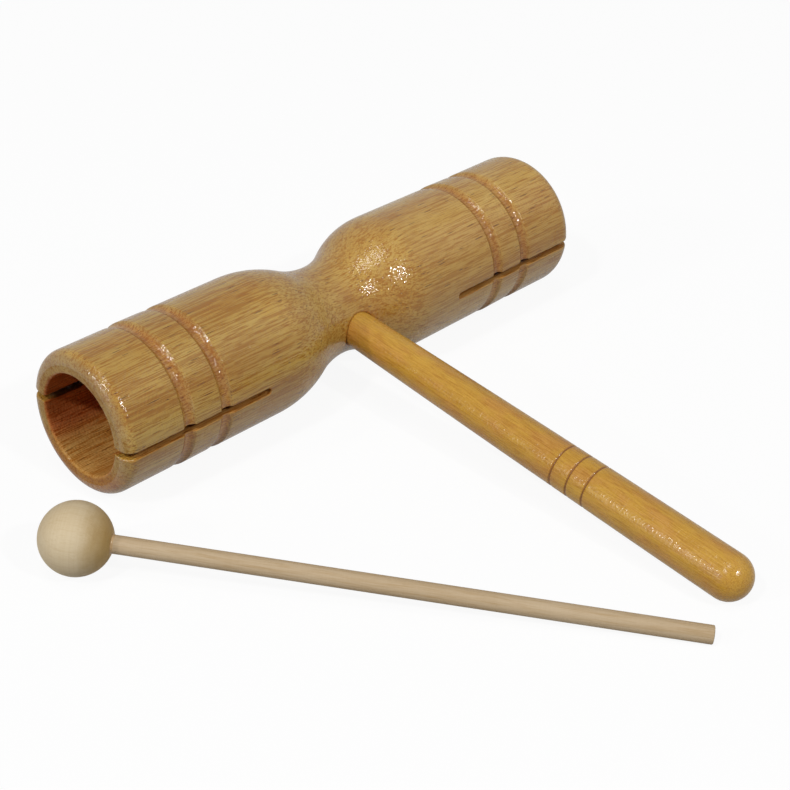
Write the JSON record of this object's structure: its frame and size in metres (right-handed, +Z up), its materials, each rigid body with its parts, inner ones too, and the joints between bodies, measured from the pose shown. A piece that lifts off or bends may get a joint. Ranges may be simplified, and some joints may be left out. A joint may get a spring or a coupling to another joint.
{
  "type": "tone block with beater",
  "caption": "Wooden tone block: a turned hollow body with a slotted chamber at each end, a handle set into its waist, and a loose ball beater beside it.",
  "frame": {"origin": "on the resting surface, under the middle of the bounding box of the whole set", "axes": "+X along the body towards the high-tone mouth, -Y from the body towards the handle's free end, +Z up"},
  "size_m": [0.2494, 0.2108, 0.05],
  "materials": {
    "body_wood": "clear gloss lacquer",
    "handle_wood": "clear gloss lacquer",
    "ball_wood": "bare, sanded",
    "stick_wood": "bare, sanded"
  },
  "bodies": {
    "block": {"tone_body": "body_wood", "handle": "handle_wood"},
    "beater": {"beater_head": "ball_wood", "beater_stick": "stick_wood"}
  },
  "joints": [
    {"name": "beater_lift", "type": "slide", "parent": "block", "child": "beater", "axis": [0, 0, 1], "range_m": [0, 0.12]}
  ]
}
